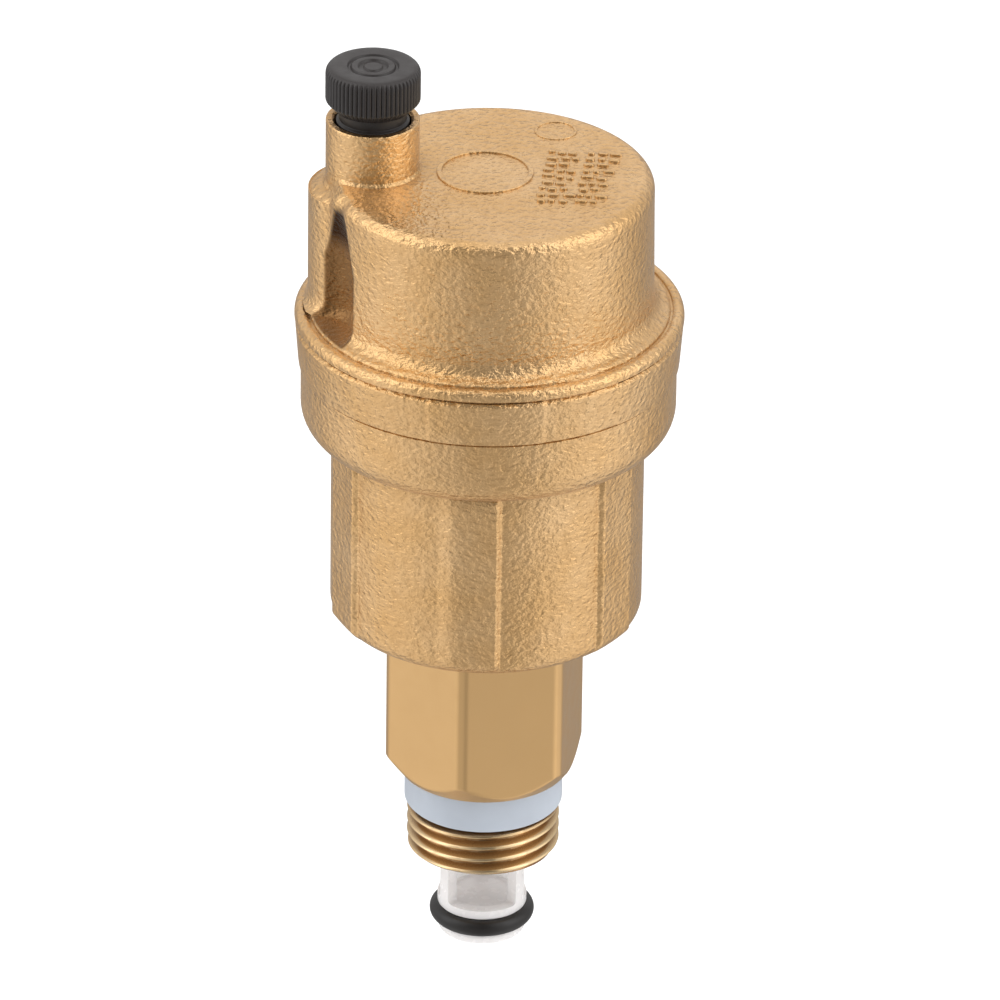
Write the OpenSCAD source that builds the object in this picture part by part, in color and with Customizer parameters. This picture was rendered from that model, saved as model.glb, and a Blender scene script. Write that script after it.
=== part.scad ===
// Automatic float air vent with an automatic shut-off valve screwed under it.
//
// Frame: millimetres, +Z up along the mounting thread's axis. Z = 0 is where the
// mounting thread begins, under the white seal ring. The vent outlet stands on -X.
//
// Drawn as it is stored: dry, with the float down and the air valve open, the cap
// tight, and the vent screwed fully home, which holds the shutter pushed down.

/* [Mounting thread] */
// Outside diameter of the mounting thread, G 1/2
thread_d = 20.955; // [20.80:0.005:21.10]
// Pitch of the mounting thread, 14 turns to the inch
thread_pitch = 1.814; // [1.75:0.002:1.85]
// Radial depth of the mounting thread
thread_depth = 1.162; // [1.0:0.01:1.2]
// Length of the mounting thread
thread_h = 7.3; // [7.2:0.1:8.0]

/* [Seal ring] */
// Outside diameter of the captive seal ring
ring_d = 21.7; // [21.4:0.1:22.0]
// Height of the captive seal ring
ring_h = 5.4; // [4.8:0.1:6.0]

/* [Shut-off valve] */
// Width across flats of the shut-off valve's hexagon
cock_af = 24.7; // [24:0.1:25.5]
// Diameter to which the hexagon's corners are turned
cock_corner_d = 27.6; // [27:0.1:28.2]
// Height of the hexagon
cock_h = 24.3; // [24.0:0.1:25.0]
// Direction of one hexagon corner, in degrees
cock_turn = 24; // [0:1:59]

/* [Shutter] */
// Outside diameter of the shutter's tube
shutter_d = 12.3; // [12.2:0.1:12.6]
// Depth of the shutter's seal below the mounting thread's start
shutter_seal_z = 17.6; // [17.6:0.05:18.0]
// Section of the shutter's seal
shutter_seal_w = 2.5; // [2.4:0.05:2.5]
// Direction that the shutter's front window faces, in degrees
window_turn = -83; // [-95:1:-75]

/* [Vent body] */
// Diameter of the body between its raised pads
body_d = 42.4; // [42.2:0.1:42.8]
// Width over two opposite raised pads
body_pad_af = 43.1; // [42.9:0.1:43.4]
// Width of each of the six raised pads
body_pad_w = 6.9; // [6:0.1:8]
// Direction of one raised pad, in degrees
body_pad_turn = 32; // [0:1:59]
// Height of the body from its underside to the seam under the cover
body_h = 44; // [43.6:0.1:44.4]
// Outside diameter of the rim at the seam
rim_d = 52.5; // [52.2:0.1:52.8]
// Outside diameter of the rim below its step
rim_low_d = 50.7; // [50.4:0.1:51]

/* [Cover] */
// Outside diameter of the cover
cover_d = 44.2; // [44:0.1:44.4]
// Height of the cover above the seam
cover_h = 21.2; // [21:0.1:21.5]

/* [Vent outlet] */
// Distance of the outlet's axis from the vent's axis
outlet_x = 16; // [15.9:0.05:16.1]
// Outside diameter of the outlet's tube
outlet_d = 12.6; // [12.5:0.1:12.9]
// Height of the outlet's tube above the cover
outlet_h = 7.3; // [7.1:0.1:7.6]
// Diameter of the column that carries the outlet
column_d = 17.2; // [17:0.1:17.5]

/* [Cap] */
// Diameter over the cap's knurls
cap_d = 12.75; // [12.4:0.05:13]
// Height of the cap's head
cap_head_h = 5.9; // [5.7:0.1:6.4]
// Number of knurls round the cap
knurls = 60; // [40:1:72]

/* [Movement] */
// Travel of the float between its resting place and the closed air valve
float_travel = 6; // [5:0.1:6]
// Pitch of the thread between the vent and the shut-off valve, 19 turns to the inch
spigot_pitch = 1.337; // [1.3:0.001:1.34]

/* [Hidden] */
$fn = 64;

fit = 0.05;          // clearance of a threaded joint, on the radius
slide_fit = 0.08;    // clearance of a sliding or turning piece, on the radius
gap = 0.1;           // gap between faces that meet on different moving pieces
skin = 0.02;         // gap between faces that meet on pieces fixed together
eps = 0.01;          // overlap that makes a cut break cleanly through a face

// Levels of the shut-off valve
thread_end_z = -thread_h;
hex_z0 = ring_h;
hex_z1 = hex_z0 + cock_h;
neck_r = thread_d / 2 - thread_depth;
chamber_r = 8.05;
chamber_z0 = 3;
shutter_r = shutter_d / 2;
guide_bore_r = shutter_r + slide_fit;
seat_chamfer = 0.9;

// Levels of the shutter
seal_r = shutter_seal_w / 2;
seal_groove_r = shutter_r - 1.45;
groove_z0 = -shutter_seal_z - seal_r - skin;
groove_z1 = -shutter_seal_z + seal_r + skin;
nose_h = 1.45;
shutter_bore_r = 4.6;
shutter_top_z = 16.4;
window_z0 = groove_z1 + 1.3;
window_z1 = -8.7;
post_w = 2.2;
clip_r = 7.7;
clip_h = 1.2;
clip_z = shutter_top_z - 1.6 - clip_h;

// Levels of the vent body
body_z0 = hex_z1 + gap;
seam_z = body_z0 + body_h;
spigot_r = 8.33;
spigot_z0 = shutter_top_z + gap;
spigot_depth = 0.856;
spigot_bore_r = 5.4;
floor_z = body_z0 + 3.6;
chamber_wall_r = 18.2;
body_foot_round = 2.2;
rim_foot_round = 4.1;
rim_foot_z = seam_z - 12.3;
rim_step_z = seam_z - 6.4;
ledge_z = seam_z - 9.8;
cover_thread_r = 22.2;
cover_thread_pitch = 1.5;
rest_rib_h = 1.4;

// Levels of the cover
cover_r = cover_d / 2;
cover_top_z = seam_z + cover_h;
cover_round = 1.6;
ceiling_z = cover_top_z - 2.4;
cover_wall_r = 18.2;
skirt_z0 = seam_z - 7.5;
column_r = column_d / 2;
column_round = 2.6;
column_top_z = cover_top_z - 2;
column_bore_r = 5.6;
column_floor_z = seam_z + 4.6;
outlet_top_z = cover_top_z + outlet_h;
outlet_bore_r = 5.3;
outlet_floor_z = cover_top_z + 1.5;
medallion_r = 6.5;
medallion_at = [-0.9, 0.6, 0];

// Levels of the nozzle and the cap
nozzle_foot_r = 3.2;
nozzle_seat_z = ceiling_z - 0.4;
nozzle_collar_r = 4.7;
nozzle_collar_h = 1.3;
nozzle_thread_r = 3;
nozzle_top_z = outlet_top_z - 0.4;
nozzle_bore_r = 0.8;
nozzle_seal_r = 0.5;
cap_r = cap_d / 2;
cap_skirt_r = 4.94;
cap_skirt_z0 = nozzle_top_z - 3.9;
cap_head_z0 = outlet_top_z + 1.6;
cap_neck_r = 4.5;
cap_neck_z0 = outlet_top_z - 0.2;
cap_seal_h = 0.7;

// Levels of the lever, the stem and the float
lever_arm = 19.6;
stem_arm = 3.6;
pivot_x = -(outlet_x + stem_arm);
pivot_z = ceiling_z - 10.1;
lever_tilt = asin(float_travel / lever_arm);
stem_travel = stem_arm * sin(lever_tilt);
lever_w = 2.4;
lever_t = 1.6;
pin_r = 1;
tip_r = 0.9;
tip_z = pivot_z - float_travel;
tip_x = pivot_x + lever_arm * cos(lever_tilt);
pad_r = 2.2;
pad_h = 1;
pad_top_z = nozzle_seat_z - fit - stem_travel;
stem_r = 1.2;
stem_head_r = 2.8;
guide_r = column_bore_r - fit;
guide_plate_z = pivot_z + 2.5;
guide_plate_h = 1.2;
yoke_z = pivot_z - stem_arm * tan(lever_tilt);
float_r = 17.2;
float_z0 = floor_z + rest_rib_h + gap;
float_z1 = tip_z - 4;
float_wall = 1.2;

// ---------- shared shapes ----------

// Points along an arc of radius r about (x, y), from angle a0 to a1, in steps steps.
function arc(x, y, r, a0, a1, steps = 8) = [
    for (i = [0:steps]) let (a = a0 + (a1 - a0) * i / steps) [x + r * cos(a), y + r * sin(a)]
];

// A ring between two radii and two levels.
module ring(outer, inner, z0, z1) {
    difference() {
        translate([0, 0, z0]) cylinder(r = outer, h = z1 - z0);
        translate([0, 0, z0 - 1]) cylinder(r = inner, h = z1 - z0 + 2);
    }
}

// A round seal of section radius r, on a circle of radius centre.
module oring(centre, r, z) {
    translate([0, 0, z]) rotate_extrude() translate([centre, 0]) circle(r = r);
}

// A hexagonal bar whose corners are turned to a diameter.
module hex_bar(flats, corner_d, h) {
    intersection() {
        cylinder(d = flats / cos(30), h = h, $fn = 6);
        cylinder(d = corner_d, h = h);
    }
}

// The outline of a threaded shank: flat crests at radius r, V grooves between them.
function thread_outline(r, depth, pitch, z0, z1, end_chamfer) =
    let (
        turns = floor((z1 - z0 - end_chamfer) / pitch),
        crest = pitch * 0.2,
        top = z1 - crest / 2
    ) concat(
        [[0, z0], [r - depth, z0]],
        [for (i = [turns:-1:0], p = [0:2])
            let (z = top - i * pitch)
            if (i < turns || p > 0)
                p == 0 ? [r - depth, z - pitch / 2]
                : [r, z + (p == 1 ? -crest / 2 : crest / 2)]],
        [[0, z1]]
    );

module thread_shank(r, depth, pitch, z0, z1, end_chamfer) {
    rotate_extrude() polygon(thread_outline(r, depth, pitch, z0, z1, end_chamfer));
}

// Height of a coil spring's wire centre after t turns: closed at both ends.
function coil_z(t, turns, wire, z0, z1) =
    let (low = z0 + wire, high = z1 - wire, dead = wire * 2.1)
    t < 1 ? low + dead * t
    : t > turns - 1 ? high - dead * (turns - t)
    : low + dead + (high - low - 2 * dead) * (t - 1) / (turns - 2);

// A coil spring of wire radius wire, standing between z0 and z1.
module coil(centre, wire, z0, z1, turns, sides = 6, steps = 18) {
    n = turns * steps;
    points = [for (i = [0:n], k = [0:sides - 1])
        let (
            t = i / steps,
            a = 360 * t,
            b = 360 * k / sides,
            r = centre + wire * cos(b)
        ) [r * cos(a), r * sin(a), coil_z(t, turns, wire, z0, z1) + wire * sin(b)]];
    sleeve = [for (i = [0:n - 1], k = [0:sides - 1])
        let (m = (k + 1) % sides)
        [i * sides + k, i * sides + m, (i + 1) * sides + m, (i + 1) * sides + k]];
    start = [[for (k = [sides - 1:-1:0]) k]];
    finish = [[for (k = [0:sides - 1]) n * sides + k]];
    polyhedron(points, concat(sleeve, start, finish), convexity = 8);
}

module at_outlet() {
    translate([-outlet_x, 0, 0]) children();
}

// ---------- shut-off valve ----------

module shutoff_body() {
    chamfer = 1.5;
    foot_chamfer = 2.6;
    foot_r = cock_af / 2 - 0.9;
    color("goldenrod") difference() {
        union() {
            intersection() {
                translate([0, 0, hex_z0]) rotate([0, 0, cock_turn])
                    hex_bar(cock_af, cock_corner_d, cock_h);
                rotate_extrude() polygon([
                    [0, hex_z0], [foot_r, hex_z0],
                    [cock_corner_d / 2 + 0.1, hex_z0 + foot_chamfer],
                    [cock_corner_d / 2 + 0.1, hex_z1 - chamfer / 2],
                    [cock_af / 2 - 0.3, hex_z1], [0, hex_z1]
                ]);
            }
            translate([0, 0, -eps]) cylinder(r = neck_r, h = ring_h + 2 * eps);
            thread_shank(thread_d / 2, thread_depth, thread_pitch, thread_end_z, 0, 0.4);
        }
        translate([0, 0, thread_end_z - 1]) cylinder(r = guide_bore_r, h = thread_h + chamber_z0 + 2);
        translate([0, 0, thread_end_z - eps])
            cylinder(r1 = guide_bore_r + seat_chamfer, r2 = guide_bore_r, h = seat_chamfer);
        translate([0, 0, chamber_z0]) cylinder(r = chamber_r, h = spigot_z0 - chamber_z0);
        translate([0, 0, spigot_z0 - 1]) cylinder(r = spigot_r + fit, h = hex_z1 - spigot_z0 + 2);
        translate([0, 0, hex_z1 - 2.1]) cylinder(r = 10.5, h = 3);
    }
}

module seal_ring() {
    r = ring_d / 2;
    bevel = 0.35;
    color("white") rotate_extrude() polygon([
        [neck_r + skin, skin], [r - bevel, skin], [r, bevel],
        [r, ring_h - skin], [neck_r + skin, ring_h - skin]
    ]);
}

module shutter_spring() {
    color("silver") coil(7.12, 0.42, chamber_z0 + skin, clip_z - skin, 7);
}

module shutter() {
    stem_groove_r = shutter_r - 0.5;
    color("whitesmoke") difference() {
        union() {
            translate([0, 0, groove_z1]) cylinder(r = shutter_r, h = shutter_top_z - groove_z1);
            translate([0, 0, groove_z0 - eps])
                cylinder(r = seal_groove_r, h = groove_z1 - groove_z0 + 2 * eps);
            translate([0, 0, groove_z0 - nose_h])
                cylinder(r1 = shutter_r - 0.6, r2 = shutter_r - 0.1, h = nose_h);
        }
        translate([0, 0, window_z0 - 0.4]) cylinder(r = shutter_bore_r, h = shutter_top_z - window_z0 + 2);
        for (turn = [0, 120, 240]) rotate([0, 0, window_turn + turn]) shutter_window();
        ring(shutter_r + 1, stem_groove_r, clip_z, clip_z + clip_h);
    }
}

// One opening in the shutter's wall, facing +X. Its sides leave a post each way.
module shutter_window() {
    inner = shutter_bore_r - 1;
    outer = shutter_r + 1;
    slope = tan(60);
    post = post_w / 2 / cos(60);
    translate([0, 0, window_z0]) linear_extrude(height = window_z1 - window_z0) polygon([
        [inner, -inner * slope + post], [outer, -outer * slope + post],
        [outer, outer * slope - post], [inner, inner * slope - post]
    ]);
}

module shutter_oring() {
    color("black") oring(seal_groove_r + seal_r + skin, seal_r, -shutter_seal_z);
}

module shutter_clip() {
    color("silver") ring(clip_r, shutter_r - 0.5 + skin, clip_z + skin, clip_z + clip_h - skin);
}

// ---------- vent body and cover ----------

// The body's outer outline below the step, as a shape of revolution.
module rim_outline() {
    polygon(concat(
        [[0, rim_foot_z - rim_foot_round]],
        arc(rim_low_d / 2 - rim_foot_round, rim_foot_z, rim_foot_round, -90, 0),
        [
            [rim_low_d / 2, rim_step_z], [rim_d / 2 - 0.3, rim_step_z],
            [rim_d / 2, rim_step_z + 0.3], [rim_d / 2, seam_z - 0.2],
            [rim_d / 2 - 0.2, seam_z], [0, seam_z]
        ]
    ));
}

// The body's round barrel of radius r, rounded at its foot.
module barrel(r) {
    rotate_extrude() polygon(concat(
        [[0, body_z0]],
        arc(r - body_foot_round, body_z0 + body_foot_round, body_foot_round, -90, 0),
        [[r, rim_foot_z], [0, rim_foot_z]]
    ));
}

module vent_body() {
    pad_corner_r = norm([body_pad_af, body_pad_w]) / 2;
    color("goldenrod") difference() {
        union() {
            barrel(body_d / 2);
            intersection() {
                barrel(pad_corner_r);
                for (turn = [0:60:300]) rotate([0, 0, turn + body_pad_turn])
                    translate([0, -body_pad_w / 2, body_z0])
                        cube([body_pad_af / 2, body_pad_w, rim_foot_z - body_z0]);
            }
            rotate_extrude() rim_outline();
            thread_shank(spigot_r, spigot_depth, spigot_pitch, spigot_z0, body_z0 + eps, 0.4);
        }
        translate([0, 0, spigot_z0 - 1]) cylinder(r = spigot_bore_r, h = floor_z - spigot_z0 + 2);
        translate([0, 0, floor_z]) cylinder(r = chamber_wall_r, h = body_h);
        translate([0, 0, ledge_z]) cylinder(r = cover_thread_r + fit, h = body_h);
    }
    color("goldenrod") for (turn = [0:60:300]) rotate([0, 0, turn])
        translate([spigot_bore_r + 1, -0.8, floor_z - eps]) cube([9, 1.6, rest_rib_h + eps]);
}

module cover_outline() {
    rim_r = rim_d / 2;
    fillet = 2.3;
    polygon(concat(
        [
            [0, seam_z + skin], [rim_r - 0.15, seam_z + skin], [rim_r, seam_z + 0.15],
            [rim_r, seam_z + 0.7]
        ],
        arc(rim_r - 0.9, seam_z + 0.8, 0.9, 0, 80, 4),
        [[cover_r + fillet - 0.4, seam_z + 2.1]],
        arc(cover_r + fillet, seam_z + 2.4 + fillet, fillet, 255, 180, 6),
        arc(cover_r - cover_round, cover_top_z - cover_round, cover_round, 0, 90, 6),
        [[0, cover_top_z]]
    ));
}

// The two wide flutes between the outlet's column and the cover's wall, narrower at their tops.
module column_flutes() {
    flute_r = 5.2;
    tip_r = 2.8;
    taper = 8.5;
    z0 = seam_z + 2.8;
    z1 = cover_top_z - 1.5;
    for (side = [-1, 1]) translate([-21.2, side * 12, 0]) {
        translate([0, 0, z0]) cylinder(r = flute_r, h = z1 - taper - z0);
        translate([0, 0, z1 - taper]) cylinder(r1 = flute_r, r2 = tip_r, h = taper);
        translate([0, 0, z1 - eps]) cylinder(r = tip_r, h = cover_top_z - z1 + 1);
    }
}

module cover() {
    color("goldenrod") difference() {
        union() {
            rotate_extrude() cover_outline();
            at_outlet() rotate_extrude() polygon(concat(
                [[0, seam_z + 1], [column_r, seam_z + 1]],
                arc(column_r - column_round, column_top_z - column_round, column_round, 0, 90, 6),
                [[0, column_top_z]]
            ));
            at_outlet() translate([0, 0, column_top_z - 1])
                cylinder(d = outlet_d, h = outlet_top_z - column_top_z + 1);
            thread_shank(cover_thread_r, 0.9, cover_thread_pitch, skirt_z0, seam_z + skin + eps, 0.4);
            translate(medallion_at)
                ring(medallion_r, medallion_r - 0.6, cover_top_z - 0.5, cover_top_z + 0.25);
        }
        translate([0, 0, skirt_z0 - 1]) cylinder(r = cover_wall_r, h = ceiling_z - skirt_z0 + 1);
        at_outlet() {
            translate([0, 0, column_floor_z]) cylinder(r = column_bore_r, h = ceiling_z - column_floor_z);
            translate([0, 0, outlet_floor_z]) cylinder(r = outlet_bore_r, h = outlet_h);
            translate([0, 0, ceiling_z - 1]) cylinder(r = nozzle_foot_r + fit, h = 8);
            ring(nozzle_foot_r + fit + 1.2, 1, outlet_floor_z - 2 * nozzle_seal_r + skin, outlet_floor_z + 1);
        }
        column_flutes();
    }
}

module cover_oring() {
    r = (skirt_z0 - ledge_z) / 2 - skin;
    color("black") oring(20.6, r, (skirt_z0 + ledge_z) / 2);
}

module spigot_oring() {
    r = 0.95;
    color("black") oring(spigot_r + 0.06 + r, r, body_z0 - gap / 2 - r);
}

// ---------- nozzle and cap ----------

module vent_nozzle() {
    collar_z = outlet_floor_z + skin;
    color("goldenrod") at_outlet() difference() {
        union() {
            translate([0, 0, nozzle_seat_z]) cylinder(r1 = 1.5, r2 = 2.2, h = 1 + eps);
            translate([0, 0, nozzle_seat_z + 1])
                cylinder(r = nozzle_foot_r, h = collar_z - nozzle_seat_z - 1);
            translate([0, 0, collar_z]) cylinder(r = nozzle_collar_r, h = nozzle_collar_h);
            thread_shank(nozzle_thread_r, 0.5, 1, collar_z + nozzle_collar_h - eps, nozzle_top_z, 0);
        }
        translate([0, 0, nozzle_seat_z - 1])
            cylinder(r = nozzle_bore_r, h = nozzle_top_z - nozzle_seat_z + 2);
    }
}

module nozzle_oring() {
    color("black") at_outlet()
        oring(nozzle_foot_r + fit + 0.6, nozzle_seal_r - skin, outlet_floor_z - nozzle_seal_r + skin);
}

module cap_seal() {
    color("dimgray") at_outlet() translate([0, 0, nozzle_top_z + skin])
        cylinder(r = nozzle_thread_r - 0.1, h = cap_seal_h);
}

// The knurled outline of the cap's head: shallow rounded flutes round a circle.
module knurl_outline() {
    flute = 0.13;
    polygon([for (i = [0:knurls * 4 - 1])
        let (r = cap_r - flute * (1 - cos(90 * i)), a = 90 * i / knurls)
        [r * cos(a), r * sin(a)]]);
}

module vent_cap() {
    chamfer = 1.3;
    side_z = cap_head_z0 + chamfer;
    top_z = cap_head_z0 + cap_head_h;
    bore_top_z = nozzle_top_z + cap_seal_h + 2 * skin;
    color("#222222") at_outlet() difference() {
        union() {
            intersection() {
                translate([0, 0, cap_head_z0]) linear_extrude(height = cap_head_h) knurl_outline();
                rotate_extrude() polygon(concat(
                    [[0, cap_head_z0], [cap_skirt_r, cap_head_z0], [cap_r + 0.1, side_z]],
                    arc(cap_r - 0.7, top_z - 0.8, 0.8, 0, 90, 4),
                    [[0, top_z]]
                ));
            }
            translate([0, 0, cap_skirt_z0]) cylinder(r = cap_skirt_r, h = cap_neck_z0 - cap_skirt_z0);
            translate([0, 0, cap_neck_z0 - eps])
                cylinder(r = cap_neck_r, h = cap_head_z0 - cap_neck_z0 + 0.1);
            ring(3.1, 2.4, top_z - 0.3, top_z + 0.2);
        }
        translate([0, 0, cap_skirt_z0 - 1])
            cylinder(r = nozzle_thread_r + slide_fit, h = bore_top_z - cap_skirt_z0 + 1);
    }
}

// ---------- air valve ----------

module valve_guide() {
    wall = 1;
    ear_y = lever_w / 2 + 0.5;
    color("beige") difference() {
        union() {
            at_outlet() ring(guide_r, guide_r - wall, guide_plate_z, ceiling_z - skin);
            at_outlet() translate([0, 0, guide_plate_z]) cylinder(r = guide_r, h = guide_plate_h);
            for (side = [-1, 1]) intersection() {
                translate([pivot_x - 1.35, side * (ear_y + 0.6) - 0.6, pivot_z - 1.6])
                    cube([2.7, 1.2, guide_plate_z - pivot_z + 1.6 + eps]);
                at_outlet() translate([0, 0, pivot_z - 2]) cylinder(r = guide_r, h = 6);
            }
        }
        at_outlet() translate([0, 0, guide_plate_z - 1]) cylinder(r = stem_r + slide_fit, h = 4);
        for (turn = [45:90:315]) at_outlet() rotate([0, 0, turn])
            translate([3.3, 0, guide_plate_z - 1]) cylinder(r = 0.8, h = 4);
        for (side = [0:90:270]) at_outlet() rotate([0, 0, side])
            translate([guide_r - wall / 2, 0, guide_plate_z + 3.4]) rotate([0, 90, 0])
                cylinder(r = 1.2, h = 4, center = true);
        translate([pivot_x, 0, pivot_z]) rotate([90, 0, 0])
            cylinder(r = pin_r + fit / 2, h = 12, center = true);
    }
}

module lever_pin() {
    color("silver") translate([pivot_x, 0, pivot_z]) rotate([90, 0, 0])
        cylinder(r = pin_r, h = lever_w + 4, center = true);
}

module lever() {
    color("silver") translate([pivot_x, 0, pivot_z]) rotate([0, lever_tilt, 0]) difference() {
        union() {
            rotate([90, 0, 0]) cylinder(r = pin_r + 0.7, h = lever_w, center = true);
            translate([0, -lever_w / 2, -lever_t / 2]) cube([lever_arm, lever_w, lever_t]);
            translate([lever_arm, 0, 0]) rotate([90, 0, 0]) cylinder(r = tip_r, h = 6.8, center = true);
        }
        rotate([90, 0, 0]) cylinder(r = pin_r + slide_fit, h = 8, center = true);
    }
}

module valve_stem() {
    yoke_x = 2.2;
    yoke_y = 4.6;
    window = 2.6;
    color("beige") at_outlet() difference() {
        union() {
            translate([0, 0, yoke_z]) cylinder(r = stem_r, h = pad_top_z - pad_h - yoke_z);
            translate([0, 0, pad_top_z - pad_h - 0.8]) cylinder(r = stem_head_r, h = 0.8 + pad_h - 0.3);
            translate([-yoke_x / 2, -yoke_y / 2, yoke_z - window / 2 - 0.8])
                cube([yoke_x, yoke_y, window + 1.6]);
        }
        translate([-5, -lever_w / 2 - 0.2, yoke_z - window / 2]) cube([10, lever_w + 0.4, window]);
        translate([0, 0, pad_top_z - pad_h]) cylinder(r = pad_r + skin, h = 3);
    }
}

module valve_pad() {
    color("black") at_outlet() translate([0, 0, pad_top_z - pad_h + skin])
        cylinder(r = pad_r, h = pad_h - skin);
}

module valve_spring() {
    color("silver") at_outlet()
        coil(1.9, 0.22, guide_plate_z + guide_plate_h + skin, pad_top_z - pad_h - 0.8 - skin, 5, 6, 16);
}

// ---------- float ----------

module float_shell() {
    rib_r = chamber_wall_r - 0.3;
    color("ivory") difference() {
        union() {
            rotate_extrude() polygon(concat(
                [[0, float_z0]],
                arc(float_r - 2, float_z0 + 2, 2, -90, 0, 4),
                [[float_r, float_z1], [0, float_z1]]
            ));
            for (turn = [30:60:330]) rotate([0, 0, turn])
                translate([float_r - 1, -0.6, float_z0 + 3])
                    cube([rib_r - float_r + 1, 1.2, float_z1 - float_z0 - 6]);
        }
        translate([0, 0, float_z0 + float_wall]) cylinder(r = float_r - float_wall, h = float_z1);
    }
}

module float_lid() {
    cheek_y = lever_w / 2 + 0.4;
    color("ivory") difference() {
        union() {
            translate([0, 0, float_z1 + skin]) cylinder(r = float_r, h = 1.4);
            translate([0, 0, float_z1 - 2]) cylinder(r = float_r - float_wall - skin, h = 2.1);
            for (side = [-1, 1]) translate([tip_x - 3.4, side * (cheek_y + 0.6) - 0.6, float_z1 + 1])
                cube([7.8, 1.2, tip_z + 2.2 - float_z1 - 1]);
        }
        translate([0, 0, float_z1 - 3]) cylinder(r = float_r - float_wall - 1.4, h = 2.9);
        hull() for (x = [tip_x - 0.7, tip_x + 1.7]) translate([x, 0, tip_z]) rotate([90, 0, 0])
            cylinder(r = tip_r + 0.15, h = 12, center = true, $fn = 32);
    }
}

shutoff_body();
seal_ring();
shutter_spring();
shutter();
shutter_oring();
shutter_clip();
vent_body();
cover();
cover_oring();
spigot_oring();
vent_nozzle();
nozzle_oring();
valve_guide();
lever_pin();
float_shell();
float_lid();
lever();
valve_stem();
valve_pad();
valve_spring();
cap_seal();
vent_cap();
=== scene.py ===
import math
import random

import bmesh
import bpy
import numpy as np
from mathutils import Matrix, Vector


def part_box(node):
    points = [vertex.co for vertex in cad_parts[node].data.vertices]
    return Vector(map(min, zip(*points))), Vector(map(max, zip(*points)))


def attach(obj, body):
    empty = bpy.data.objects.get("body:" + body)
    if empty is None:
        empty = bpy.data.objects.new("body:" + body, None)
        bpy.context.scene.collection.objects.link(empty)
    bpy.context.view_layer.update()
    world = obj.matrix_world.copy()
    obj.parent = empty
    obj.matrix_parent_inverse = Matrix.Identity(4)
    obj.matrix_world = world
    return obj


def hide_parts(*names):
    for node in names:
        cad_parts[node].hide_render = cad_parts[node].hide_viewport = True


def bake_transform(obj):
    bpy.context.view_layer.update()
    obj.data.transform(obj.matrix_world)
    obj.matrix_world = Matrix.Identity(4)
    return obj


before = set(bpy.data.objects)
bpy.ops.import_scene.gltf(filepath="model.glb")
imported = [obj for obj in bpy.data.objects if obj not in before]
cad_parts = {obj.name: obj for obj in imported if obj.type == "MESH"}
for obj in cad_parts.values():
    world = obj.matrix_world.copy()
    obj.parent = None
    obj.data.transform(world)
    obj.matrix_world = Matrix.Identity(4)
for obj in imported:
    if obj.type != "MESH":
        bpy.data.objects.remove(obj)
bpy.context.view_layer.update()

# Lengths in this script are millimetres and angles are degrees, until a mesh is made from them.
MM = 0.001

# The brass body, whose levels follow the CAD nodes
BODY_R = 21.2
PAD_FACE = 21.55
PAD_HALF = 9.3
PAD_TURNS = np.arange(32, 360, 60)
RIM_PAD_HALF = 17.4
RIM_PAD_H = 0.13
RIM_PAD_TURNS = PAD_TURNS + 4.3
FOOT_ROUND = 2.2
RIM_LOW_R = 25.35
RIM_R = 26.25
RIM_STEP_Z = 67.4
FLOAT_BORE_R = 18.2
SPIGOT_BORE_R = 5.4
COVER_THREAD_R = 22.15

# The cover
COVER_R = 22.1
COVER_H = 21.2
COLUMN_R = 8.6
COLUMN_DROP = 2.0
OUTLET_X = -16.0
OUTLET_R = 6.3
OUTLET_BORE_R = 5.15
FLUTE_R = 5.2
FLUTE_TIP_R = 2.8
FLUTE_X = -21.2
FLUTE_Y = 12.0
FLUTE_TAPER_DROP = 10.0
FLUTE_TAPER_H = 8.5

# The shut-off valve
HEX_FACE = 12.35
HEX_CORNER_R = 13.9
HEX_TURN = 24.0
THREAD_R = 10.4775
THREAD_DEPTH = 1.162
THREAD_PITCH = 1.814
THREAD_FRONT = -83.0
THREAD_FRONT_Z = -0.93
SHUTTER_R = 6.15

# The cap
CAP_R = 6.375
CAP_KNURLS = 60

# Power of the light that keeps the floor pale, in watts, and strength of the studio round the part
FLOOR_LIGHT = 14
WORLD_STRENGTH = 2.0


# ---------- outlines ----------

def node_box(node):
    """Lowest and highest corner of a CAD node, in millimetres."""
    low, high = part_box(node)
    return np.array(low) / MM, np.array(high) / MM


def arc(r, z, radius, start, end, steps=8):
    """Points along an arc about (r, z)."""
    turns = np.radians(np.linspace(start, end, steps + 1))
    return [(r + radius * math.cos(a), z + radius * math.sin(a)) for a in turns]


def rounded(corners, closed=False):
    """A path through (r, z, fillet) corners, each rounded by its fillet."""
    path = []
    for i, (r, z, fillet) in enumerate(corners):
        here = np.array((r, z), float)
        if fillet == 0 or (not closed and i in (0, len(corners) - 1)):
            path.append((r, z))
            continue
        before = np.array(corners[i - 1][:2], float) - here
        after = np.array(corners[(i + 1) % len(corners)][:2], float) - here
        room = 0.49 * min(np.linalg.norm(before), np.linalg.norm(after))
        before /= np.linalg.norm(before)
        after /= np.linalg.norm(after)
        half = math.acos(np.clip(before @ after, -1, 1)) / 2
        reach = min(fillet / math.tan(half), room)
        radius = reach * math.tan(half)
        middle = here + (before + after) / np.linalg.norm(before + after) * radius / math.sin(half)
        first = here + before * reach - middle
        last = here + after * reach - middle
        start = math.atan2(first[1], first[0])
        turn = (math.atan2(last[1], last[0]) - start + math.pi) % (2 * math.pi) - math.pi
        steps = max(3, math.ceil(abs(turn) / math.radians(12)))
        path += arc(middle[0], middle[1], radius, math.degrees(start), math.degrees(start + turn), steps)
    return path


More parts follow.
